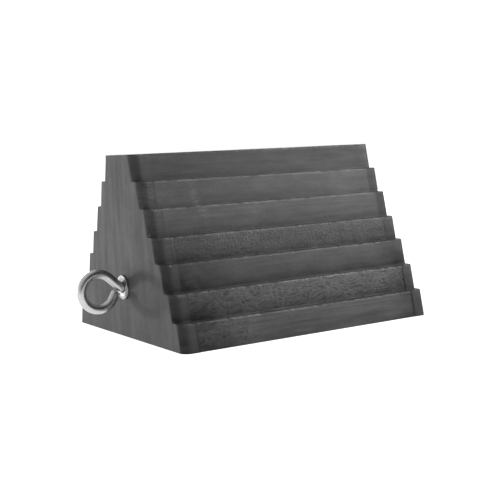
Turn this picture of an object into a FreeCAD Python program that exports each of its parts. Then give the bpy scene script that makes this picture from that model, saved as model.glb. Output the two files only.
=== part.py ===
"""Wheel chock: seven stepped rubber bars bonded between two rubber end cheeks, with an eye bolt.

Frame: millimetres, +Z up, origin at the middle of the face that stands on the ground.
X runs along the treads, with the eye at -X.  Y runs from one ramp to the other.
"""
import FreeCAD, Part

import math
import os

Vector = FreeCAD.Vector
X_AXIS = Vector(1, 0, 0)

# ---- driving dimensions: rubber block -------------------------------------------------------
block_length = 304.8
crest_width = 67.6
bar_heights = {
    "top_bar": 27.5,
    "second_bar": 27.0,
    "third_bar": 27.7,
    "fourth_bar": 25.4,
    "fifth_bar": 27.6,
    "sixth_bar": 26.7,
    "base_bar": 27.6,
}
riser_lean_deg = 11.8
tread_depth = 8.9
cheek_thickness = 17.5
cheek_corner_radius = 9.5
scuffed_bars = ("sixth_bar", "base_bar")
scuff_depth = 0.5

# ---- driving dimensions: eye bolt -----------------------------------------------------------
rod_diameter = 9.525
bolt_above_base_bar = 24.7
bore_clearance = 0.06
eye_opening = 27.08
eye_centre_out = 28.7
eye_centre_drop = 1.7
neck_vertex_out = 3.2
neck_bend_radius = 9.0
tail_start_deg = -30.0
tail_length = 8.0
rod_end_chamfer = 0.7
thread_stick_out = 2.0

# ---- driving dimensions: washers, nut and pocket --------------------------------------------
washer_rim_width = 7.14
washer_thickness = 2.1
washer_hole_clearance = 0.8
washer_edge_round = 0.6
pocket_depth = 20.0
pocket_wrench_room = 1.5
end_play = 0.3
nut_wall = 2.35
nut_hex_height = 8.4
nut_collar_height = 3.1
nut_collar_wall = 1.7
nut_bore_clearance = 0.03
insert_thickness = 2.2
insert_wall = 1.1
collar_lip = 0.5

# ---- worked out from the driving dimensions -------------------------------------------------
slope = math.tan(math.radians(riser_lean_deg))
core_length = block_length - 2 * cheek_thickness
eye_face_x = -block_length / 2
nut_face_x = block_length / 2
rod_radius = rod_diameter / 2
bolt_height = bar_heights["base_bar"] + bolt_above_base_bar
bore_radius = rod_radius + bore_clearance
eye_radius = eye_opening / 2 + rod_radius
washer_hole_radius = rod_radius + washer_hole_clearance
washer_radius = washer_hole_radius + washer_rim_width
pocket_radius = washer_radius + pocket_wrench_room
thread_radius = rod_radius + nut_bore_clearance
insert_radius = thread_radius + insert_wall
nut_flat_radius = thread_radius + nut_wall
nut_collar_radius = thread_radius + nut_collar_wall
pocket_floor_x = nut_face_x - pocket_depth
nut_seat_x = pocket_floor_x + washer_thickness + end_play
nut_top_x = nut_seat_x + nut_hex_height + nut_collar_height
insert_x = nut_top_x - collar_lip - insert_thickness
rod_end_x = nut_top_x + thread_stick_out


def bar_levels():
    """Each bar from the crest down: name, top and bottom height, half width there."""
    levels = []
    top_z = sum(bar_heights.values())
    half_width = crest_width / 2
    for name, height in bar_heights.items():
        foot_half_width = half_width + slope * height
        levels.append((name, top_z, top_z - height, half_width, foot_half_width))
        top_z -= height
        half_width = foot_half_width + tread_depth
    return levels


def rod_along_x(start_x, length, radius):
    """A cylinder on the bolt's axis."""
    return Part.makeCylinder(radius, length, Vector(start_x, 0, bolt_height), X_AXIS)


def tapered_bar(start_x, length, top_z, foot_z, top_half, foot_half):
    """A straight bar with both risers leaning in towards the crest."""
    corners = [
        Vector(start_x, -foot_half, foot_z),
        Vector(start_x, foot_half, foot_z),
        Vector(start_x, top_half, top_z),
        Vector(start_x, -top_half, top_z),
    ]
    outline = Part.makePolygon(corners + corners[:1])
    return Part.Face(outline).extrude(Vector(length, 0, 0))


bolt_bore = rod_along_x(-block_length, 2 * block_length, bore_radius)
nut_pocket = rod_along_x(pocket_floor_x, block_length, pocket_radius)


def drilled(shape):
    """The bolt's bore and the nut's pocket, where they meet this piece."""
    return shape.cut(bolt_bore).cut(nut_pocket)


# ---- the seven bars -------------------------------------------------------------------------
def step_bar(name, top_z, foot_z, top_half, foot_half):
    """One bar of the core; a scuffed bar's risers lie a little behind the cheeks."""
    inset = scuff_depth if name in scuffed_bars else 0.0
    bar = tapered_bar(-core_length / 2, core_length, top_z, foot_z, top_half - inset, foot_half - inset)
    return drilled(bar)


# ---- the end cheeks -------------------------------------------------------------------------
def cheek_step(start_x, outer_x, top_z, foot_z, top_half, foot_half):
    """One step of a cheek, its two outer corners rounded from tread to tread."""
    step = tapered_bar(start_x, cheek_thickness, top_z, foot_z, top_half, foot_half)
    corner_edges = []
    for edge in step.Edges:
        ends = [vertex.Point for vertex in edge.Vertexes]
        rises = abs(ends[0].z - ends[1].z) > 1.0
        at_outer_face = all(abs(point.x - outer_x) < 1e-6 for point in ends)
        if rises and at_outer_face:
            corner_edges.append(edge)
    return step.makeFillet(cheek_corner_radius, corner_edges)


def end_cheek(start_x, outer_x):
    """A one-piece stepped cheek that closes one end of the seven bars."""
    cheek = None
    for name, top_z, foot_z, top_half, foot_half in bar_levels():
        step = cheek_step(start_x, outer_x, top_z, foot_z, top_half, foot_half)
        cheek = step if cheek is None else cheek.fuse(step)
    return drilled(cheek.removeSplitter())


# ---- the eye bolt ---------------------------------------------------------------------------
def polar(centre, radius, angle):
    """The point of a circle in the eye's plane at this angle, in radians."""
    return Vector(centre.x + radius * math.cos(angle), 0, centre.z + radius * math.sin(angle))


def arc_edge(centre, radius, start, end):
    """An arc in the eye's plane, through its own middle."""
    points = [polar(centre, radius, angle) for angle in (start, (start + end) / 2, end)]
    return Part.Arc(*points).toShape()


def eye_bolt():
    """One round rod: a straight shank, a neck bend and an open round eye whose tail nearly closes it."""
    eye_centre = Vector(eye_face_x - eye_centre_out, 0, bolt_height - eye_centre_drop)
    vertex = Vector(eye_face_x - neck_vertex_out, 0, bolt_height)
    to_centre = eye_centre - vertex
    centre_angle = math.atan2(to_centre.z, to_centre.x) % (2 * math.pi)
    neck_angle = centre_angle - math.asin(eye_radius / to_centre.Length)
    neck_turn = math.pi - neck_angle
    bend_reach = neck_bend_radius * math.tan(neck_turn / 2)
    bend_centre = Vector(vertex.x + bend_reach, 0, bolt_height + neck_bend_radius)
    bend_start = -math.pi / 2
    bend_end = bend_start - neck_turn
    eye_start = neck_angle - math.pi / 2
    eye_end = math.radians(tail_start_deg) + 2 * math.pi
    shank_end = Vector(rod_end_x, 0, bolt_height)
    tail_start = polar(eye_centre, eye_radius, eye_end)
    tail_end = tail_start + Vector(-math.sin(eye_end), 0, math.cos(eye_end)) * tail_length
    path = Part.Wire([
        Part.makeLine(shank_end, polar(bend_centre, neck_bend_radius, bend_start)),
        arc_edge(bend_centre, neck_bend_radius, bend_start, bend_end),
        Part.makeLine(polar(bend_centre, neck_bend_radius, bend_end), polar(eye_centre, eye_radius, eye_start)),
        arc_edge(eye_centre, eye_radius, eye_start, eye_end),
        Part.makeLine(tail_start, tail_end),
    ])
    section = Part.Wire(Part.makeCircle(rod_radius, shank_end, X_AXIS))
    rod = path.makePipeShell([section], True, False)
    sawn_ends = []
    for face in rod.Faces:
        if isinstance(face.Surface, Part.Plane):
            sawn_ends.extend(face.Edges)
    return rod.makeChamfer(rod_end_chamfer, sawn_ends)


# ---- washers, nut and insert ----------------------------------------------------------------
def washer(start_x):
    """A punched round washer with eased edges, lying against the face at start_x."""
    disc = rod_along_x(start_x, washer_thickness, washer_radius)
    disc = disc.makeFillet(washer_edge_round, [edge for edge in disc.Edges if edge.Closed])
    return disc.cut(rod_along_x(start_x, washer_thickness, washer_hole_radius))


def hexagon_prism(start_x, length, flat_radius):
    """A hexagon bar on the bolt's axis."""
    corners = []
    for index in range(6):
        angle = math.radians(60 * index)
        reach = flat_radius / math.cos(math.radians(30))
        corners.append(Vector(start_x, reach * math.cos(angle), bolt_height + reach * math.sin(angle)))
    outline = Part.makePolygon(corners + corners[:1])
    return Part.Face(outline).extrude(Vector(length, 0, 0))


def corner_cone(small_end_x, direction, flat_radius, length):
    """A 30 degree cone that takes a hexagon's corners off down to its flats."""
    large_radius = flat_radius + length * math.sqrt(3)
    return Part.makeCone(flat_radius, large_radius, length, Vector(small_end_x, 0, bolt_height), direction)


def lock_nut():
    """A hexagon nut whose round collar holds the nylon ring under a rolled lip."""
    collar_x = nut_seat_x + nut_hex_height
    hexagon = hexagon_prism(nut_seat_x, nut_hex_height, nut_flat_radius)
    hexagon = hexagon.common(corner_cone(collar_x, X_AXIS * -1, nut_flat_radius, nut_hex_height))
    hexagon = hexagon.common(corner_cone(nut_seat_x, X_AXIS, nut_flat_radius, nut_hex_height))
    body = hexagon.fuse(rod_along_x(collar_x, nut_collar_height, nut_collar_radius))
    thread_bore = rod_along_x(nut_seat_x, nut_top_x - nut_seat_x, thread_radius)
    ring_room = rod_along_x(insert_x, insert_thickness, insert_radius)
    lip_mouth = rod_along_x(insert_x, nut_top_x - insert_x, insert_radius - insert_wall / 2)
    return body.cut(thread_bore).cut(ring_room).cut(lip_mouth).removeSplitter()


def lock_nut_insert():
    """The nylon ring that grips the thread."""
    ring = rod_along_x(insert_x, insert_thickness, insert_radius)
    return ring.cut(rod_along_x(insert_x, insert_thickness, thread_radius))


# ---- the parts ------------------------------------------------------------------------------
parts = {level[0]: step_bar(*level) for level in bar_levels()}
parts["eye_end_cheek"] = end_cheek(eye_face_x, eye_face_x)
parts["nut_end_cheek"] = end_cheek(nut_face_x - cheek_thickness, nut_face_x)
parts["eye_bolt"] = eye_bolt()
parts["eye_washer"] = washer(eye_face_x - washer_thickness)
parts["nut_washer"] = washer(pocket_floor_x)
parts["lock_nut"] = lock_nut()
parts["lock_nut_insert"] = lock_nut_insert()

os.makedirs("parts", exist_ok=True)
for name, shape in parts.items():
    box = shape.BoundBox
    size = f"{box.XLength:.2f} x {box.YLength:.2f} x {box.ZLength:.2f}"
    print(f"{name}: {shape.ShapeType}, {len(shape.Solids)} solid, valid {shape.isValid()}, {size}")
    shape.Solids[0].exportStep(f"parts/{name}.step")
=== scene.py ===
import math

import bmesh
import bpy
from mathutils import Matrix, Vector, noise


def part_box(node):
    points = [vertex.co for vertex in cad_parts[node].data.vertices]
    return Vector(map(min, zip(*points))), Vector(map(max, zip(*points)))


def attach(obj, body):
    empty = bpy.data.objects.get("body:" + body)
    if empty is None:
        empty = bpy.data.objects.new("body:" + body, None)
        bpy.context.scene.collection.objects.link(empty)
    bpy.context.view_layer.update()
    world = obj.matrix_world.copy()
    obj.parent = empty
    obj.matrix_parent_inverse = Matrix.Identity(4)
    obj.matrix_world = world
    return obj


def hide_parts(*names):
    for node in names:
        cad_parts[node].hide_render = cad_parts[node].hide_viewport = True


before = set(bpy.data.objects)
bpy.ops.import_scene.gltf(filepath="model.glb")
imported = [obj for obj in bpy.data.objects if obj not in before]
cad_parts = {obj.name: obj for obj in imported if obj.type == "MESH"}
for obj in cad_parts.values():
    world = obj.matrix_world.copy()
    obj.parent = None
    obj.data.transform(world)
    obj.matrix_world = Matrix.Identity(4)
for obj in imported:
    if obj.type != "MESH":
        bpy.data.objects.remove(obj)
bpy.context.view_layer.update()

MM = 0.001

# ---- Rubber bars ----------------------------------------------------------------------------
# Seven bars of recycled rubber lie on each other and make the two stepped ramps.  Each is cured
# in its own tray, so its risers carry that tray's finish: smooth and cloudy, grainy or barky.
riser_lean = math.radians(11.8)
riser_slope = math.tan(riser_lean)
nose_round = 0.9 * MM
nose_steps = 4
foot_cover = 1.5 * MM
bark_fade = 18 * MM
bars_from_crest = [
    "top_bar", "second_bar", "third_bar", "fourth_bar", "fifth_bar", "sixth_bar", "base_bar",
]
# Each tray also sets how much shade is painted at the foot of its risers and towards the block's ends.
plain_tray = dict(cell=1.5, bark=0.0, bark_end=0.2, foot_painted_shade=0.0, end_painted_shade=0.0)
grainy_tray = dict(cell=0.7, bark=0.3, bark_end=0.2, foot_painted_shade=0.5, end_painted_shade=0.3)
barky_tray = dict(cell=0.7, bark=0.85, bark_end=0.2, foot_painted_shade=0.55, end_painted_shade=0.5)
half_barky_tray = dict(cell=0.8, bark=0.7, bark_end=-0.06, foot_painted_shade=0.4, end_painted_shade=0.7)
bar_finish = {
    "top_bar": dict(plain_tray, tone=0.036, streak=0.9, grain=0.15),
    "second_bar": dict(plain_tray, tone=0.06, streak=0.4, grain=0.1, foot_painted_shade=0.1),
    "third_bar": dict(plain_tray, tone=0.058, streak=0.6, grain=0.15, foot_painted_shade=0.3),
    "fourth_bar": dict(grainy_tray, tone=0.052, streak=0.3, grain=1.1),
    "fifth_bar": dict(plain_tray, tone=0.048, streak=0.6, grain=0.2, foot_painted_shade=0.6, end_painted_shade=0.6),
    "sixth_bar": dict(barky_tray, tone=0.046, streak=0.2, grain=0.3),
    "base_bar": dict(half_barky_tray, tone=0.05, streak=1.3, grain=0.2),
}
# Painted shade darkens the bars towards the eye end and, half as much, towards the nut end; each cheek
# takes a fixed share of it.
eye_end_shade_reach = 65 * MM
nut_end_shade_reach = 35 * MM
eye_cheek_shade_share, nut_cheek_shade_share = 0.35, 0.8
eye_cheek_painted_light, nut_cheek_painted_shade = 0.18, 0.25
corner_painted_shade, corner_shade_reach = 0.38, 8 * MM
tyre_scuff_x, tyre_scuff_z = -91 * MM, 138 * MM
tyre_scuff_width, tyre_scuff_height = 7 * MM, 26 * MM
drip_marks = (72 * MM, 89 * MM)
drip_width = 2.4 * MM
scuff_rub, scuff_slant, drip_soil, foot_shade_falloff = 0.4, 0.2, 0.2, 1.4
bolt_low, bolt_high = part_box("eye_bolt")
washer_low, washer_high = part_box("eye_washer")
bolt_z = (washer_low.z + washer_high.z) / 2
rod_radius = (bolt_high.y - bolt_low.y) / 2
bore_clearance = 0.06 * MM
wrench_room = 1.5 * MM
bore_radius = rod_radius + bore_clearance
pocket_radius = (washer_high.y - washer_low.y) / 2 + wrench_room
pocket_floor_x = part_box("nut_washer")[0].x
past_both_ends = 0.2


def evenly(start, end, cell):
    """Places from start to end, about one cell apart."""
    count = max(1, round(abs(end - start) / cell))
    return [start + (end - start) * step / count for step in range(count + 1)]


def step_stops(foot_half, foot_z, top_z, inner_half, cell):
    """Half widths and heights up one riser, round its nose and in over its tread."""
    top_half = foot_half - riser_slope * (top_z - foot_z)
    centre_half = top_half - nose_round * math.tan((math.pi / 2 - riser_lean) / 2)
    centre_z = top_z - nose_round
    riser_half = centre_half + nose_round * math.cos(riser_lean)
    riser_z = centre_z + nose_round * math.sin(riser_lean)
    stops = []
    for z in evenly(foot_z, riser_z, cell):
        share = (z - foot_z) / (riser_z - foot_z)
        stops.append((foot_half + (riser_half - foot_half) * share, z))
    for step in range(1, nose_steps + 1):
        angle = riser_lean + (math.pi / 2 - riser_lean) * step / nose_steps
        half = centre_half + nose_round * math.cos(angle)
        stops.append((half, centre_z + nose_round * math.sin(angle)))
    stops += [(half, top_z) for half in evenly(centre_half, inner_half, cell)[1:]]
    return stops


bar_heights = {name: (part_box(name)[0].z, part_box(name)[1].z) for name in bars_from_crest}
core_low, core_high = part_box("top_bar")
nose_half = {
    name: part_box(name)[1].y - riser_slope * (nose_z - foot_z)
    for name, (foot_z, nose_z) in bar_heights.items()
}
# Each nose is paled by wear and by a painted highlight; each tread is paled by a painted highlight.
nose_wear_and_highlight_reach = 2.2 * MM
tread_painted_highlight = 0.25
block_low_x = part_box("eye_end_cheek")[0].x
block_high_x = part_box("nut_end_cheek")[1].x
on_edge = 1e-6


def painted_light_and_wear(x, y, z):
    """Painted shade, darkest at a riser's foot, towards the block's ends and round its corners, plus
    drip stains; and paling from wear, painted highlight and painted light, palest at a nose.
    """
    for name, (foot_z, nose_z) in bar_heights.items():
        if z > foot_z + on_edge or name == "base_bar":
            break
    finish = bar_finish[name]
    rise = min(1.0, (z - foot_z) / (nose_z - foot_z))
    by_eye, by_nut = eye_cheek_shade_share, nut_cheek_shade_share
    if x > core_low.x - on_edge:
        by_eye = max(0.0, 1 - (x - core_low.x) / eye_end_shade_reach)
    if x < core_high.x + on_edge:
        by_nut = max(0.0, 1 - (core_high.x - x) / nut_end_shade_reach)
    # Painted shade: each riser is darkened towards its foot, where the tread below meets it.
    soil_and_painted_shade = finish["foot_painted_shade"] * (1 - rise) ** foot_shade_falloff
    # Painted shade towards the block's ends.
    soil_and_painted_shade += finish["end_painted_shade"] * (by_eye + 0.5 * by_nut)
    # Pale at a nose from wear and a painted highlight, and over a tread from a painted highlight.
    from_nose = math.hypot(nose_half[name] - abs(y), nose_z - z)
    rub_and_painted_light = max(0.0, 1 - from_nose / nose_wear_and_highlight_reach) + (tread_painted_highlight if rise > 0.999 else 0.0)
    if y < 0:
        along = (x - tyre_scuff_x - scuff_slant * (tyre_scuff_z - z)) / tyre_scuff_width
        rub_and_painted_light += scuff_rub * max(0.0, 1 - math.hypot(along, (z - tyre_scuff_z) / tyre_scuff_height))
    # Painted shade round the cheeks' rounded upright corners.
    from_end_face = min(x - block_low_x, block_high_x - x)
    soil_and_painted_shade += corner_painted_shade * max(0.0, 1 - from_end_face / corner_shade_reach)
    # Painted light on the eye cheek and painted shade on the nut cheek, over the second and third
    # tiers.
    if name in ("second_bar", "third_bar"):
        rub_and_painted_light += eye_cheek_painted_light if x < core_low.x - on_edge else 0.0
        soil_and_painted_shade += nut_cheek_painted_shade if x > core_high.x + on_edge else 0.0
    if name == "fourth_bar" and y < 0:
        soil_and_painted_shade += drip_soil * max(0.0, 1 - min(abs(x - mark) for mark in drip_marks) / drip_width)
    return min(0.95, soil_and_painted_shade), min(1.0, rub_and_painted_light)


def new_piece(bm, name, material):
    """Turns a finished bmesh into an object at the origin."""
    mesh = bpy.data.meshes.new(name)
    bm.to_mesh(mesh)
    bm.free()
    mesh.materials.append(material)
    piece = bpy.data.objects.new(name, mesh)
    bpy.context.scene.collection.objects.link(piece)
    return piece


def rubber(name, finish, roughness, buffed_ends=False):
    """Black recycled rubber: cloudy tone, rubbed streaks, crumb, painted shade with drip stains,
    painted light, noses rubbed pale and given a painted highlight, and dust.
    """
    material = bpy.data.materials.new(name)
    material.use_nodes = True
    nodes = material.node_tree.nodes
    links = material.node_tree.links
    shader = nodes["Principled BSDF"]
    place = nodes.new("ShaderNodeTexCoord")

    def pattern(scale, offset, detail):
        mapping = nodes.new("ShaderNodeMapping")
        mapping.inputs["Location"].default_value = offset
        mapping.inputs["Scale"].default_value = scale
        links.new(place.outputs["Object"], mapping.inputs["Vector"])
        texture = nodes.new("ShaderNodeTexNoise")
        texture.inputs["Scale"].default_value = 1.0
        texture.inputs["Detail"].default_value = detail
        texture.inputs["Roughness"].default_value = 0.6
        links.new(mapping.outputs["Vector"], texture.inputs["Vector"])
        return texture.outputs["Fac"]

    def vertex_mark(attribute):
        node = nodes.new("ShaderNodeAttribute")
        node.attribute_name = attribute
        return node.outputs["Fac"]

    def spread(value, low, high, dark, light):
        node = nodes.new("ShaderNodeMapRange")
        node.inputs["From Min"].default_value = low
        node.inputs["From Max"].default_value = high
        node.inputs["To Min"].default_value = dark
        node.inputs["To Max"].default_value = light
        links.new(value, node.inputs["Value"])
        return node.outputs["Result"]

    def combine(kind, first, second):
        node = nodes.new("ShaderNodeMath")
        node.operation = kind
        for socket, value in zip(node.inputs, (first, second)):
            if isinstance(value, float):
                socket.default_value = value
            else:
                links.new(value, socket)
        return node.outputs["Value"]

    def on_face(face_share, elsewhere, on_end):
        node = nodes.new("ShaderNodeMix")
        links.new(face_share, node.inputs["Factor"])
        links.new(elsewhere, node.inputs["A"])
        links.new(on_end, node.inputs["B"])
        return node.outputs["Result"]

    tone, streaks, grains = finish["tone"], finish["streak"], finish["grain"]
    cloud = combine(
        "MULTIPLY",
        spread(pattern((13, 13, 26), (3, 1, 2), 3), 0.3, 0.7, 0.8, 1.22),
        spread(pattern((48, 48, 80), (7, 3, 5), 3), 0.3, 0.7, 0.88, 1.13),
    )
    where_streaked = spread(pattern((22, 22, 40), (5, 5, 1), 2), 0.4, 0.62, 0.25, 1.0)
    streak = spread(pattern((12, 12, 300), (1, 5, 3), 4), 0.35, 0.7, -0.3 * streaks, 0.35 * streaks)
    streak = combine("ADD", combine("MULTIPLY", streak, where_streaked), 1.0)
    gloss = spread(pattern((30, 30, 150), (2, 8, 5), 4), 0.3, 0.7, roughness - 0.08, roughness + 0.1)
    shade_and_soil_patches = spread(pattern((40, 60, 60), (2, 2, 9), 3), 0.3, 0.65, 0.7, 1.1)
    rub_and_light_patches = spread(pattern((120, 400, 400), (8, 1, 1), 3), 0.4, 0.6, 0.05, 1.0)
    # Per-vertex painted shade with drip stains, and paling from wear, painted highlight and painted
    # light, broken into patches.
    soil_and_painted_shade = combine("MULTIPLY", vertex_mark("soil_and_painted_shade"), shade_and_soil_patches)
    rub_and_painted_light = combine("MULTIPLY", vertex_mark("rub_and_painted_light"), rub_and_light_patches)
    if buffed_ends:
        surface = nodes.new("ShaderNodeNewGeometry")
        facing = nodes.new("ShaderNodeSeparateXYZ")
        links.new(surface.outputs["Normal"], facing.inputs["Vector"])
        on_end = spread(combine("ABSOLUTE", facing.outputs["X"], 0.0), 0.95, 0.999, 0.0, 1.0)
        buffed_and_shaded = combine(
            "MULTIPLY",
            spread(pattern((220, 220, 22), (4, 2, 6), 3), 0.3, 0.7, 0.73, 0.82),
            spread(pattern((44, 38, 30), (1, 6, 2), 4), 0.35, 0.65, 0.74, 1.26),
        )
        position = nodes.new("ShaderNodeSeparateXYZ")
        links.new(place.outputs["Object"], position.inputs["Vector"])
        # Painted shade: the end face's colour is darkened towards its foot and towards its crest.
        buffed_and_shaded = combine("MULTIPLY", buffed_and_shaded, spread(position.outputs["Z"], 0.002, 0.028, 0.8, 1.0))
        buffed_and_shaded = combine("MULTIPLY", buffed_and_shaded, spread(position.outputs["Z"], 0.08, 0.17, 1.0, 0.8))
        streak = on_face(on_end, streak, buffed_and_shaded)
        gloss = on_face(on_end, gloss, spread(pattern((90, 90, 12), (2, 8, 5), 4), 0.3, 0.7, 0.46, 0.6))
        off_end = combine("SUBTRACT", 1.0, on_end)
        soil_and_painted_shade = combine("MULTIPLY", soil_and_painted_shade, off_end)
        rub_and_painted_light = combine("MULTIPLY", rub_and_painted_light, off_end)
    crumb_depth = 0.15 + 0.3 * grains
    crumb = spread(pattern((900, 900, 900), (0, 2, 7), 2), 0.3, 0.72, 1 - crumb_depth, 1 + crumb_depth)
    shade = combine("MULTIPLY", combine("MULTIPLY", cloud, streak), crumb)
    if not buffed_ends:
        shade = combine("MULTIPLY", shade, spread(vertex_mark("relief"), 0.0, 1.0, 0.25, 1.75))
    # Painted shade darkens the colour; wear, painted highlight and painted light pale it.
    shade = combine("MULTIPLY", shade, combine("SUBTRACT", 1.0, soil_and_painted_shade))
    shade = combine("MULTIPLY", shade, spread(rub_and_painted_light, 0.0, 1.0, 1.0, 3.2))
    dust = spread(pattern((420, 420, 420), (9, 4, 1), 2), 0.72, 0.8, 0.0, 0.05)
    specks = spread(pattern((700, 700, 700), (3, 7, 2), 1), 0.66, 0.72, 0.0, 0.45)
    specks = combine("MULTIPLY", rub_and_painted_light, specks)
    value = combine("ADD", combine("ADD", combine("MULTIPLY", shade, tone), dust), specks)
    colour = nodes.new("ShaderNodeCombineColor")
    for channel in ("Red", "Green", "Blue"):
        links.new(value, colour.inputs[channel])
    links.new(colour.outputs["Color"], shader.inputs["Base Color"])
    links.new(combine("ADD", gloss, combine("MULTIPLY", soil_and_painted_shade, 0.35)), shader.inputs["Roughness"])
    bump = nodes.new("ShaderNodeBump")
    bump.inputs["Strength"].default_value = 0.42
    bump.inputs["Distance"].default_value = 0.0004
    height = combine("ADD", pattern((700, 700, 700), (6, 6, 6), 5), combine("MULTIPLY", streak, 0.4))
    links.new(height, bump.inputs["Height"])
    links.new(bump.outputs["Normal"], shader.inputs["Normal"])
    return material


def surface_level(x, z, seed, finish):
    """How far out the surface stands here, from 0 to 1, in this bar's finish."""
    warp = noise.noise(Vector((x * 60, seed, z * 90)))
    patch = noise.noise(Vector((x * 30, seed + 23, z * 40))) * 0.5 + 0.5
    streak = noise.fractal(Vector((x * 14, seed + 3, z * 330)), 0.9, 2.0, 3)
    level = 0.5 + 0.22 * finish["streak"] * streak
    if finish["bark"]:
        crease = noise.turbulence(Vector((x * 115 + warp, seed + 11, z * 450 + 1.6 * warp)), 4, True)
        reach = min(1.0, max(0.0, (finish["bark_end"] - x) / bark_fade))
        level += finish["bark"] * reach * (0.9 - 1.5 * crease) * (0.5 + 0.8 * patch)
    grain = noise.fractal(Vector((x * 620, seed + 19, z * 560)), 0.6, 2.0, 2)
    level += 0.3 * finish["grain"] * grain * (0.5 + patch)
    return min(1.0, max(0.0, level))


cheek_blend = 2 * MM
nose_chip_depth = 1.6 * MM


def moulded_bar(name, covered_half):
    """One bar: its section swept along the treads, then roughened, chipped and pitted on every open
    side.
    """
    low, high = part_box(name)
    finish = bar_finish[name]
    cell = finish["cell"] * MM
    seed = 5.0 * bars_from_crest.index(name)
    stops = step_stops(high.y, low.z, high.z, covered_half, cell)
    bm = bmesh.new()
    section = [bm.verts.new((low.x, -half, z)) for half, z in stops]
    section += [bm.verts.new((low.x, half, z)) for half, z in reversed(stops) if half > 0]
    end_face = bm.faces.new(section)
    swept = bmesh.ops.extrude_face_region(bm, geom=[end_face])["geom"]
    far_end = [item for item in swept if isinstance(item, bmesh.types.BMVert)]
    bmesh.ops.translate(bm, verts=far_end, vec=(high.x - low.x, 0, 0))
    sweeping = [edge for edge in bm.edges if abs(edge.verts[0].co.x - edge.verts[1].co.x) > MM]
    bmesh.ops.subdivide_edges(bm, edges=sweeping, cuts=round((high.x - low.x) / cell) - 1)
    relief = bm.verts.layers.float.new("relief")
    soil_and_painted_shade = bm.verts.layers.float.new("soil_and_painted_shade")
    rub_and_painted_light = bm.verts.layers.float.new("rub_and_painted_light")
    depth_of_finish = (0.12 + 0.6 * finish["bark"] + 0.4 * finish["grain"]) * MM
    for vert in bm.verts:
        x, y, z = vert.co
        side = 1 if y > 0 else -1
        level = surface_level(x, z + 0.3 * abs(y), seed + 40 * side, finish)
        vert[relief] = level
        # Each vertex takes its painted shade, painted light and wear.
        vert[soil_and_painted_shade], vert[rub_and_painted_light] = painted_light_and_wear(x, y, z)
        if z < low.z + on_edge or abs(y) < covered_half + on_edge:
            continue
        by_cheek = min(1.0, (x - low.x) / cheek_blend, (high.x - x) / cheek_blend)
        depth = (1 - level) * depth_of_finish * (0.05 + 0.95 * by_cheek)
        near_nose = 0.0
        if abs(y) > covered_half + 6 * MM:
            near_nose = max(0.0, 1 - (high.z - z) / nose_wear_and_highlight_reach)
        chip = max(0.0, noise.noise(Vector((x * 210, side * 9.0, z * 60 + seed))) - 0.18)
        depth += near_nose * chip * nose_chip_depth
        if z < high.z - on_edge or near_nose > 0:
            vert.co.y -= side * depth
        if near_nose > 0:
            vert.co.z -= depth * 0.5
    bmesh.ops.recalc_face_normals(bm, faces=bm.faces)
    for face in bm.faces:
        face.smooth = True
    piece = new_piece(bm, name + "_moulded", rubber(name + "_rubber", finish, 0.5))
    piece.data.set_sharp_from_angle(angle=math.radians(50))
    return piece


def drill(piece, start_x, end_x, radius):
    """Bores a round hole along the bolt's axis."""
    bm = bmesh.new()
    lying_along_x = Matrix.Rotation(math.pi / 2, 4, "Y")
    bmesh.ops.create_cone(
        bm, cap_ends=True, segments=64, radius1=radius, radius2=radius, depth=end_x - start_x,
        matrix=Matrix.Translation(((start_x + end_x) / 2, 0, bolt_z)) @ lying_along_x,
    )
    mesh = bpy.data.meshes.new("drill")
    bm.to_mesh(mesh)
    bm.free()
    bit = bpy.data.objects.new("drill", mesh)
    bpy.context.scene.collection.objects.link(bit)
    cut = piece.modifiers.new("drill", "BOOLEAN")
    cut.object = bit
    cut.operation = "DIFFERENCE"
    cut.solver = "EXACT"
    evaluated = piece.evaluated_get(bpy.context.evaluated_depsgraph_get())
    drilled = bpy.data.meshes.new_from_object(evaluated)
    piece.modifiers.clear()
    piece.data = drilled
    bpy.data.objects.remove(bit)


half_above = 0.0
for name in bars_from_crest:
    bar = moulded_bar(name, max(0.0, half_above - foot_cover))
    foot_z, nose_z = bar_heights[name]
    if foot_z < bolt_z + pocket_radius and nose_z > bolt_z - pocket_radius:
        drill(bar, -past_both_ends, past_both_ends, bore_radius)
        drill(bar, pocket_floor_x, past_both_ends, pocket_radius)
        bar.data.set_sharp_from_angle(angle=math.radians(50))
    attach(bar, "block")
    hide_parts(name)
    half_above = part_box(name)[1].y

# ---- End cheeks -----------------------------------------------------------------------------
# A smooth stepped cheek closes each end of the bars.  It is one moulding, its upright corners
# rounded, buffed up and down on the open face, and bonded to the ends of the bars.
cheek_corner = 9.5 * MM
corner_steps = 12
cheek_cell = 2.5 * MM
tread_depth = 8.9 * MM
crest_margin = 2 * MM


def cheek_stops():
    """The cheek's outline from the ground to the crest, step by step."""
    stops = []
    foot_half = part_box("eye_end_cheek")[1].y
    for name, above in zip(reversed(bars_from_crest), [*reversed(bars_from_crest[:-1]), None]):
        low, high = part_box(name)
        top_half = foot_half - riser_slope * (high.z - low.z)
        inner_half = top_half - (tread_depth if above else crest_margin)
        stops += step_stops(foot_half, low.z, high.z, inner_half, cheek_cell)
        foot_half = inner_half
    return stops


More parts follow.
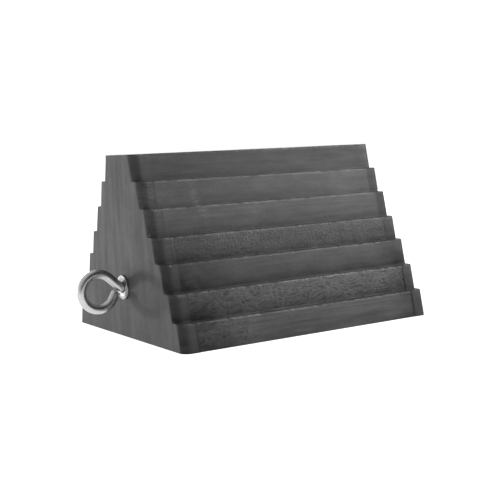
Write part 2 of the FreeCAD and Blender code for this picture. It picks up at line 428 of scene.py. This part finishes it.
def upright_ramp(bm, side, outer_x, inner_x, stops):
    """Carries one foot line, corner and all, over every step; gives its two end rails."""
    inward = 1 if inner_x > outer_x else -1
    foot_half, foot_z = stops[0]
    line = []
    for step in range(corner_steps + 1):
        angle = math.pi / 2 * step / corner_steps
        x = outer_x + inward * cheek_corner * (1 - math.cos(angle))
        line.append((x, foot_half - cheek_corner * (1 - math.sin(angle))))
    line += [(x, foot_half) for x in evenly(outer_x + inward * cheek_corner, inner_x, cheek_cell)[1:]]
    verts = [bm.verts.new((x, side * half, foot_z)) for x, half in line]
    edges = [bm.edges.new(pair) for pair in zip(verts, verts[1:])]
    outer_rail, inner_rail = [verts[0]], [verts[-1]]
    for (half, z), (next_half, next_z) in zip(stops, stops[1:]):
        if (half, z) == (next_half, next_z):
            continue
        grown = bmesh.ops.extrude_edge_only(bm, edges=edges)["geom"]
        verts = [item for item in grown if isinstance(item, bmesh.types.BMVert)]
        edges = [item for item in grown if isinstance(item, bmesh.types.BMEdge)]
        edges = [edge for edge in edges if edge.verts[0] in verts and edge.verts[1] in verts]
        bmesh.ops.translate(bm, verts=verts, vec=(0, side * (next_half - half), next_z - z))
        verts.sort(key=lambda vert: (round(inward * vert.co.x, 7), side * vert.co.y))
        outer_rail.append(verts[0])
        inner_rail.append(verts[-1])
    top_line = sorted(verts, key=lambda vert: (round(inward * vert.co.x, 7), side * vert.co.y))
    return outer_rail, inner_rail, top_line


def stepped_cheek(node, outer_x, inner_x, material):
    """A closed cheek: two ramp sides, the open face, the bonded face, the foot and the crest."""
    stops = cheek_stops()
    bm = bmesh.new()
    front_outer, front_inner, front_top = upright_ramp(bm, -1, outer_x, inner_x, stops)
    back_outer, back_inner, back_top = upright_ramp(bm, 1, outer_x, inner_x, stops)
    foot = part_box(node)[0].z
    front_foot = [vert for vert in bm.verts if vert.co.z < foot + 1e-7 and vert.co.y < 0]
    back_foot = [vert for vert in bm.verts if vert.co.z < foot + 1e-7 and vert.co.y > 0]
    front_foot.sort(key=lambda vert: (round(abs(outer_x) - abs(vert.co.x), 7), -vert.co.y))
    back_foot.sort(key=lambda vert: (round(abs(outer_x) - abs(vert.co.x), 7), vert.co.y))
    bm.faces.new(front_outer + back_outer[::-1])
    bm.faces.new(front_inner + back_inner[::-1])
    bm.faces.new(front_foot + back_foot[::-1])
    bm.faces.new(front_top + back_top[::-1])
    bmesh.ops.dissolve_degenerate(bm, dist=1e-7, edges=bm.edges)
    bmesh.ops.recalc_face_normals(bm, faces=bm.faces)
    soil_and_painted_shade = bm.verts.layers.float.new("soil_and_painted_shade")
    rub_and_painted_light = bm.verts.layers.float.new("rub_and_painted_light")
    # The cheek takes the same painted shade, painted light and wear as the bars.
    for vert in bm.verts:
        vert[soil_and_painted_shade], vert[rub_and_painted_light] = painted_light_and_wear(*vert.co)
    for face in bm.faces:
        face.smooth = True
    piece = new_piece(bm, node + "_moulded", material)
    drill(piece, -past_both_ends, past_both_ends, bore_radius)
    if outer_x > 0:
        drill(piece, pocket_floor_x, past_both_ends, pocket_radius)
    piece.data.set_sharp_from_angle(angle=math.radians(38))
    weighted = piece.modifiers.new("even normals", "WEIGHTED_NORMAL")
    weighted.keep_sharp = True
    return piece


cheek_finish = dict(tone=0.04, streak=0.5, grain=0.1)
cheek_rubber = rubber("cheek_rubber", cheek_finish, 0.52, buffed_ends=True)
for node in ("eye_end_cheek", "nut_end_cheek"):
    low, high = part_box(node)
    outer_x, inner_x = (low.x, high.x) if node == "eye_end_cheek" else (high.x, low.x)
    cheek = stepped_cheek(node, outer_x, inner_x, cheek_rubber)
    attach(cheek, "block")
    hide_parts(node)

# ---- Eye bolt -------------------------------------------------------------------------------
# One galvanised rod runs the length of the block.  Its end is bent cold into an open eye, not
# welded, with a sawn tip that nearly touches the neck; the far end has a rolled thread.
neck_out = 3.2 * MM
neck_bend = 9.0 * MM
tail_start = math.radians(-30)
tail_length = 8.0 * MM
thread_length = 30 * MM
thread_pitch = 25.4 / 16 * MM
thread_depth = 0.9 * MM
rod_sides = 40
thread_end_chamfer, tail_end_chamfer = 0.7 * MM, 0.6 * MM
eye_radius = (bolt_high.z - bolt_low.z) / 2 - rod_radius
eye_centre = Vector((bolt_low.x + rod_radius + eye_radius, bolt_low.z + rod_radius + eye_radius))
cheek_face_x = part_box("eye_end_cheek")[0].x


def rod_stations():
    """Places along the rod's middle line: x, z, the way it heads, and the distance so far."""
    vertex = Vector((cheek_face_x - neck_out, bolt_z))
    to_centre = eye_centre - vertex
    toward = math.atan2(to_centre.y, to_centre.x) % (2 * math.pi)
    neck_heading = toward - math.asin(eye_radius / to_centre.length)
    turn = math.pi - neck_heading
    reach = neck_bend * math.tan(turn / 2)
    stations = []

    def straight(start, end, heading, cell):
        first = stations[-1][3] if stations else 0.0
        length = (end - start).length
        for gone in evenly(0.0, length, cell)[1 if stations else 0:]:
            point = start + (end - start) * (gone / length)
            stations.append((point.x, point.y, heading, first + gone))

    def bent(centre, radius, heading, turned, cell):
        first = stations[-1][3]
        hand = 1 if turned > 0 else -1
        for gone in evenly(0.0, abs(turned), cell / radius)[1:]:
            now = heading + hand * gone
            out = now - hand * math.pi / 2
            point = centre + radius * Vector((math.cos(out), math.sin(out)))
            stations.append((point.x, point.y, now, first + radius * gone))

    rod_end = Vector((bolt_high.x, bolt_z))
    thread_end = Vector((bolt_high.x - thread_length, bolt_z))
    bend_start = Vector((vertex.x + reach, bolt_z))
    straight(rod_end, thread_end, math.pi, thread_pitch / 8)
    straight(thread_end, bend_start, math.pi, 4 * MM)
    bent(Vector((bend_start.x, bolt_z + neck_bend)), neck_bend, math.pi, -turn, 0.8 * MM)
    eye_start = neck_heading - math.pi / 2
    neck_end = eye_centre + eye_radius * Vector((math.cos(eye_start), math.sin(eye_start)))
    straight(Vector(stations[-1][:2]), neck_end, neck_heading, 1 * MM)
    sweep = tail_start + 2 * math.pi - eye_start
    bent(eye_centre, eye_radius, neck_heading, sweep, 1 * MM)
    heading = stations[-1][2]
    last = Vector(stations[-1][:2])
    onward = Vector((math.cos(heading), math.sin(heading)))
    straight(last, last + tail_length * onward, heading, 1 * MM)
    return stations


def zinc(name, tone, roughness, attribute):
    """Hot-dipped zinc: cloudy grey metal with drawing lines along a rod and dull patches."""
    material = bpy.data.materials.new(name)
    material.use_nodes = True
    nodes = material.node_tree.nodes
    links = material.node_tree.links
    shader = nodes["Principled BSDF"]
    shader.inputs["Metallic"].default_value = 1.0
    if attribute:
        place = nodes.new("ShaderNodeAttribute")
        place.attribute_name = attribute
        where = place.outputs["Vector"]
    else:
        place = nodes.new("ShaderNodeTexCoord")
        where = place.outputs["Object"]
    stretched = nodes.new("ShaderNodeMapping")
    stretched.inputs["Scale"].default_value = (1, 1, 0.06) if attribute else (1, 1, 1)
    links.new(where, stretched.inputs["Vector"])
    line = nodes.new("ShaderNodeTexNoise")
    line.inputs["Scale"].default_value = 1800
    line.inputs["Detail"].default_value = 3
    links.new(stretched.outputs["Vector"], line.inputs["Vector"])
    patch = nodes.new("ShaderNodeTexNoise")
    patch.inputs["Scale"].default_value = 260
    patch.inputs["Detail"].default_value = 4
    links.new(where, patch.inputs["Vector"])
    colour = nodes.new("ShaderNodeMapRange")
    colour.inputs["From Min"].default_value = 0.3
    colour.inputs["From Max"].default_value = 0.7
    colour.inputs["To Min"].default_value = tone * 0.88
    colour.inputs["To Max"].default_value = tone
    links.new(patch.outputs["Fac"], colour.inputs["Value"])
    grey = nodes.new("ShaderNodeCombineColor")
    for channel in ("Red", "Green", "Blue"):
        links.new(colour.outputs["Result"], grey.inputs[channel])
    links.new(grey.outputs["Color"], shader.inputs["Base Color"])
    gloss = nodes.new("ShaderNodeMapRange")
    gloss.inputs["From Min"].default_value = 0.3
    gloss.inputs["From Max"].default_value = 0.7
    gloss.inputs["To Min"].default_value = roughness - 0.03
    gloss.inputs["To Max"].default_value = roughness + 0.05
    links.new(patch.outputs["Fac"], gloss.inputs["Value"])
    links.new(gloss.outputs["Result"], shader.inputs["Roughness"])
    bump = nodes.new("ShaderNodeBump")
    bump.inputs["Strength"].default_value = 0.12
    bump.inputs["Distance"].default_value = 0.0001
    links.new(line.outputs["Fac"], bump.inputs["Height"])
    links.new(bump.outputs["Normal"], shader.inputs["Normal"])
    return material


bm = bmesh.new()
rod_place = bm.verts.layers.float_vector.new("rod_place")
stations = rod_stations()
whole_length = stations[-1][3]
ring = bmesh.ops.create_circle(bm, cap_ends=False, segments=rod_sides, radius=rod_radius)["verts"]
angle_of = {vert: math.atan2(vert.co.y, vert.co.x) for vert in ring}
edges = list(bm.edges)
for number, (x, z, heading, gone) in enumerate(stations):
    if number:
        grown = bmesh.ops.extrude_edge_only(bm, edges=edges)["geom"]
        edges = [item for item in grown if isinstance(item, bmesh.types.BMEdge)]
        fresh = [item for item in grown if isinstance(item, bmesh.types.BMVert)]
        edges = [edge for edge in edges if edge.verts[0] in fresh and edge.verts[1] in fresh]
        matched = {}
        for vert in fresh:
            neighbours = [edge.other_vert(vert) for edge in vert.link_edges]
            old = [neighbour for neighbour in neighbours if neighbour in angle_of]
            matched[vert] = angle_of[old[0]]
        angle_of = matched
    across = Vector((-math.sin(heading), 0, math.cos(heading)))
    for vert, angle in angle_of.items():
        radius = rod_radius
        if gone < thread_length:
            turn_share = (gone / thread_pitch + angle / (2 * math.pi)) % 1
            run_out = min(1.0, (thread_length - gone) / (2 * thread_pitch))
            radius -= thread_depth * run_out * abs(2 * turn_share - 1)
        radius -= max(0.0, thread_end_chamfer - gone)
        radius -= 0.8 * max(0.0, tail_end_chamfer - (whole_length - gone))
        outward = math.cos(angle) * across + math.sin(angle) * Vector((0, 1, 0))
        vert.co = Vector((x, 0, z)) + radius * outward
        vert[rod_place] = (rod_radius * math.cos(angle), rod_radius * math.sin(angle), gone)
    if number == 0:
        bmesh.ops.contextual_create(bm, geom=edges)
bmesh.ops.contextual_create(bm, geom=edges)
bmesh.ops.recalc_face_normals(bm, faces=bm.faces)
for face in bm.faces:
    face.smooth = True
eye_bolt = new_piece(bm, "bent_eye_bolt", zinc("rod_zinc", 0.62, 0.33, "rod_place"))
eye_bolt.data.set_sharp_from_angle(angle=math.radians(50))
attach(eye_bolt, "eye")
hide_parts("eye_bolt")

# ---- Washers --------------------------------------------------------------------------------
# Two punched steel washers, zinc plated: one between the eye's neck and the rubber, and one at
# the bottom of the nut's pocket.  Punching rolls one rim over and leaves the other square.
washer_clearance = 0.8 * MM
washer_hole = rod_radius + washer_clearance
rim_roll = 0.55 * MM
washer_zinc = zinc("washer_zinc", 0.4, 0.3, None)
for node, faces_out in (("eye_washer", -1), ("nut_washer", 1)):
    low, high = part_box(node)
    radius = (high.z - low.z) / 2
    seat_x = high.x if faces_out < 0 else low.x
    thick = high.x - low.x
    profile = [(0.15 * MM, washer_hole), (0, washer_hole + 0.2 * MM)]
    profile += [(0, radius - 0.15 * MM), (0.15 * MM, radius)]
    for step in range(5):
        angle = math.pi / 2 * step / 4
        out = thick - rim_roll * (1 - math.sin(angle))
        profile.append((out, radius - rim_roll * (1 - math.cos(angle))))
    profile += [(thick - 0.1 * MM, radius - 3 * MM), (thick - 0.3 * MM, washer_hole + 0.5 * MM)]
    profile += [(thick - 0.6 * MM, washer_hole)]
    bm = bmesh.new()
    verts = [bm.verts.new((seat_x + faces_out * out, 0, bolt_z + reach)) for out, reach in profile]
    loop = [bm.edges.new(pair) for pair in zip(verts, verts[1:] + verts[:1])]
    bmesh.ops.spin(
        bm, geom=verts + loop, cent=(seat_x, 0, bolt_z), axis=(1, 0, 0), angle=2 * math.pi, steps=72,
        use_merge=True,
    )
    bmesh.ops.remove_doubles(bm, verts=bm.verts, dist=1e-6)
    bmesh.ops.recalc_face_normals(bm, faces=bm.faces)
    for face in bm.faces:
        face.smooth = True
    washer = new_piece(bm, node + "_punched", washer_zinc)
    washer.data.set_sharp_from_angle(angle=math.radians(40))
    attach(washer, "block")
    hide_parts(node)

# ---- Lock nut -------------------------------------------------------------------------------
# A hexagon nut with a round collar, forged from steel and zinc plated.  The collar is rolled in
# over a nylon ring that grips the thread, so the nut stays put while the eye is pulled about.
nut_low, nut_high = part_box("lock_nut")
insert_low, insert_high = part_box("lock_nut_insert")
collar_height = 3.1 * MM
flat_radius = (nut_high.z - nut_low.z) / 2
thread_clearance = 0.03 * MM
collar_wall = 1.7 * MM
thread_radius = rod_radius + thread_clearance
insert_radius = (insert_high.y - insert_low.y) / 2
collar_radius = thread_radius + collar_wall
collar_x = nut_high.x - collar_height
chamfer_step = 0.15 * MM
nut_sides = 72


def hexagon_reach(angle, x):
    """How far the hexagon's outside stands from the axis here, its corners turned off at both ends."""
    from_flat = (angle + math.pi / 6) % (math.pi / 3) - math.pi / 6
    flat_reach = flat_radius / math.cos(from_flat)
    from_end = min(x - nut_low.x, collar_x - x)
    return min(flat_reach, flat_radius - chamfer_step + from_end * math.sqrt(3))


def turned(name, stations, material):
    """A ring on the bolt's axis: a closed section of places (x, reach or its rule) carried round."""
    bm = bmesh.new()
    section = [bm.verts.new((x, 0, bolt_z + 1 * MM)) for x, reach in stations]
    loop = [bm.edges.new(pair) for pair in zip(section, section[1:] + section[:1])]
    edges = loop
    rounds = [{vert: number for number, vert in enumerate(section)}]
    for side in range(1, nut_sides):
        grown = bmesh.ops.extrude_edge_only(bm, edges=edges)["geom"]
        fresh = {item for item in grown if isinstance(item, bmesh.types.BMVert)}
        edges = [item for item in grown if isinstance(item, bmesh.types.BMEdge)]
        edges = [edge for edge in edges if edge.verts[0] in fresh and edge.verts[1] in fresh]
        matched = {}
        for vert in fresh:
            neighbours = [edge.other_vert(vert) for edge in vert.link_edges]
            old = [neighbour for neighbour in neighbours if neighbour in rounds[-1]]
            matched[vert] = rounds[-1][old[0]]
        rounds.append(matched)
    bmesh.ops.bridge_loops(bm, edges=edges + loop)
    for side, matched in enumerate(rounds):
        angle = 2 * math.pi * side / nut_sides
        for vert, number in matched.items():
            x, reach = stations[number]
            out = reach(angle, x) if callable(reach) else reach
            vert.co = Vector((x, out * math.sin(angle), bolt_z + out * math.cos(angle)))
    bmesh.ops.recalc_face_normals(bm, faces=bm.faces)
    for face in bm.faces:
        face.smooth = True
    piece = new_piece(bm, name, material)
    piece.data.set_sharp_from_angle(angle=math.radians(28))
    return piece


ring_x, ring_end_x = insert_low.x, insert_high.x
lip_radius = insert_radius - 0.55 * MM
collar_roll = 0.9 * MM
thread_root = 0.45 * MM
nut_section = [(nut_low.x, thread_radius + 0.7 * MM), (nut_low.x, flat_radius - chamfer_step)]
for x in evenly(nut_low.x, collar_x, 0.35 * MM)[1:-1]:
    nut_section.append((x, hexagon_reach))
nut_section += [(collar_x, flat_radius - chamfer_step), (collar_x, collar_radius)]
for step in range(1, 6):
    angle = math.pi / 2 * step / 5
    x = nut_high.x - collar_roll * (1 - math.sin(angle))
    nut_section.append((x, collar_radius - collar_roll * (1 - math.cos(angle))))
nut_section += [(nut_high.x - 0.1 * MM, lip_radius), (ring_end_x, lip_radius + 0.1 * MM)]
nut_section += [(ring_end_x, insert_radius), (ring_x, insert_radius), (ring_x, thread_radius)]
turns = 5
turn_length = (ring_x - nut_low.x - 0.8 * MM) / turns
for turn in range(turns):
    nut_section.append((ring_x - turn_length * (turn + 0.5), thread_radius + thread_root))
    nut_section.append((ring_x - turn_length * (turn + 1), thread_radius))
lock_nut = turned("lock_nut_forged", nut_section, zinc("nut_zinc", 0.58, 0.32, None))
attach(lock_nut, "eye")
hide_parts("lock_nut")

# ---- Nylon ring -----------------------------------------------------------------------------
# A moulded ring of natural nylon inside the nut's collar.  The bolt's thread presses its own
# way through it, which is what locks the nut.
nylon = bpy.data.materials.new("natural_nylon")
nylon.use_nodes = True
nylon_shader = nylon.node_tree.nodes["Principled BSDF"]
nylon_shader.inputs["Subsurface Weight"].default_value = 0.2
nylon_shader.inputs["Subsurface Radius"].default_value = (0.002, 0.002, 0.002)
nylon_place = nylon.node_tree.nodes.new("ShaderNodeTexCoord")
nylon_cloud = nylon.node_tree.nodes.new("ShaderNodeTexNoise")
nylon_cloud.inputs["Scale"].default_value = 700
nylon_tint = nylon.node_tree.nodes.new("ShaderNodeValToRGB")
nylon_tint.color_ramp.elements[0].color = (0.72, 0.71, 0.66, 1)
nylon_tint.color_ramp.elements[1].color = (0.82, 0.81, 0.77, 1)
nylon_gloss = nylon.node_tree.nodes.new("ShaderNodeMapRange")
nylon_gloss.inputs["To Min"].default_value = 0.38
nylon_gloss.inputs["To Max"].default_value = 0.55
nylon.node_tree.links.new(nylon_place.outputs["Object"], nylon_cloud.inputs["Vector"])
nylon.node_tree.links.new(nylon_cloud.outputs["Fac"], nylon_tint.inputs["Fac"])
nylon.node_tree.links.new(nylon_tint.outputs["Color"], nylon_shader.inputs["Base Color"])
nylon.node_tree.links.new(nylon_cloud.outputs["Fac"], nylon_gloss.inputs["Value"])
nylon.node_tree.links.new(nylon_gloss.outputs["Result"], nylon_shader.inputs["Roughness"])
ring_round = 0.25 * MM
ring_section = [
    (ring_x, thread_radius + ring_round), (ring_x, insert_radius - ring_round),
    (ring_x + ring_round, insert_radius), (ring_end_x - ring_round, insert_radius),
    (ring_end_x, insert_radius - ring_round), (ring_end_x, thread_radius + ring_round),
    (ring_end_x - ring_round, thread_radius), (ring_x + ring_round, thread_radius),
]
nylon_ring = turned("lock_nut_nylon_ring", ring_section, nylon)
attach(nylon_ring, "eye")
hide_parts("lock_nut_insert")

# ---- Floor, light and camera ----------------------------------------------------------------
# A plain pale floor under the block, soft studio light, and a long lens at the crest's height.
bm = bmesh.new()
bmesh.ops.create_grid(bm, x_segments=1, y_segments=1, size=30)
floor_material = bpy.data.materials.new("floor")
floor_material.use_nodes = True
floor_shader = floor_material.node_tree.nodes["Principled BSDF"]
floor_shader.inputs["Base Color"].default_value = (0.5, 0.5, 0.5, 1)
floor_shader.inputs["Roughness"].default_value = 0.9
floor_shader.inputs["Emission Color"].default_value = (1, 1, 1, 1)
floor_shader.inputs["Emission Strength"].default_value = 0.94
floor = new_piece(bm, "floor", floor_material)

world = bpy.data.worlds.new("studio")
bpy.context.scene.world = world
world.use_nodes = True
sky = world.node_tree.nodes["Background"]
sky.inputs["Color"].default_value = (1, 1, 1, 1)
sky_way = world.node_tree.nodes.new("ShaderNodeTexCoord")
toward_sweep = world.node_tree.nodes.new("ShaderNodeVectorMath")
toward_sweep.operation = "DOT_PRODUCT"
toward_sweep.inputs[1].default_value = (-0.6, 0.45, 0.65)
sweep_glow = world.node_tree.nodes.new("ShaderNodeMapRange")
sweep_glow.interpolation_type = "SMOOTHSTEP"
sweep_glow.inputs["From Max"].default_value = 0.9
sweep_glow.inputs["To Max"].default_value = 0.7
seen = world.node_tree.nodes.new("ShaderNodeLightPath")
strength = world.node_tree.nodes.new("ShaderNodeMapRange")
strength.inputs["To Max"].default_value = 1.0
world.node_tree.links.new(sky_way.outputs["Generated"], toward_sweep.inputs[0])
world.node_tree.links.new(toward_sweep.outputs["Value"], sweep_glow.inputs["Value"])
world.node_tree.links.new(sweep_glow.outputs["Result"], strength.inputs["To Min"])
world.node_tree.links.new(seen.outputs["Is Camera Ray"], strength.inputs["Value"])
world.node_tree.links.new(strength.outputs["Result"], sky.inputs["Strength"])


def softbox(name, place, aim, width, height, power):
    """A flat soft light that faces the block."""
    light = bpy.data.lights.new(name, "AREA")
    light.shape = "RECTANGLE"
    light.size = width
    light.size_y = height
    light.energy = power
    box = bpy.data.objects.new(name, light)
    box.location = place
    box.rotation_euler = (Vector(aim) - Vector(place)).to_track_quat("-Z", "Y").to_euler()
    bpy.context.scene.collection.objects.link(box)


middle = (0, 0, 0.09)
softbox("left rear sweep", (-1.7, 2.3, 0.6), middle, 3.0, 1.5, 4)
softbox("left rear strip", (-1.35, 2.25, 0.02), middle, 0.3, 0.3, 8)
softbox("right front low", (1.2, -1.0, 0.55), middle, 0.8, 0.8, 7)
softbox("right front high", (1.0, -0.85, 1.1), middle, 0.8, 0.8, 8)
softbox("right", (1.5, -0.5, 0.7), middle, 0.8, 0.8, 6)
softbox("right rear sweep", (1.5, 2.4, 0.4), middle, 2.4, 0.8, 30)

camera_data = bpy.data.cameras.new("camera")
camera_data.lens = 71.42
camera_data.sensor_width = 36
camera_data.clip_end = 100
camera = bpy.data.objects.new("camera", camera_data)
bpy.context.scene.collection.objects.link(camera)
camera_place = Matrix.Translation((-0.5831, -0.9391, 0.1923))
camera_heading = Matrix.Rotation(math.radians(-32.04), 4, "Z")
camera_dip = Matrix.Rotation(math.radians(90 - 5.95), 4, "X")
camera_roll = Matrix.Rotation(math.radians(-2.483), 4, "Z")
camera.matrix_world = camera_place @ camera_heading @ camera_dip @ camera_roll
bpy.context.scene.camera = camera
bpy.context.scene.view_settings.view_transform = "Standard"
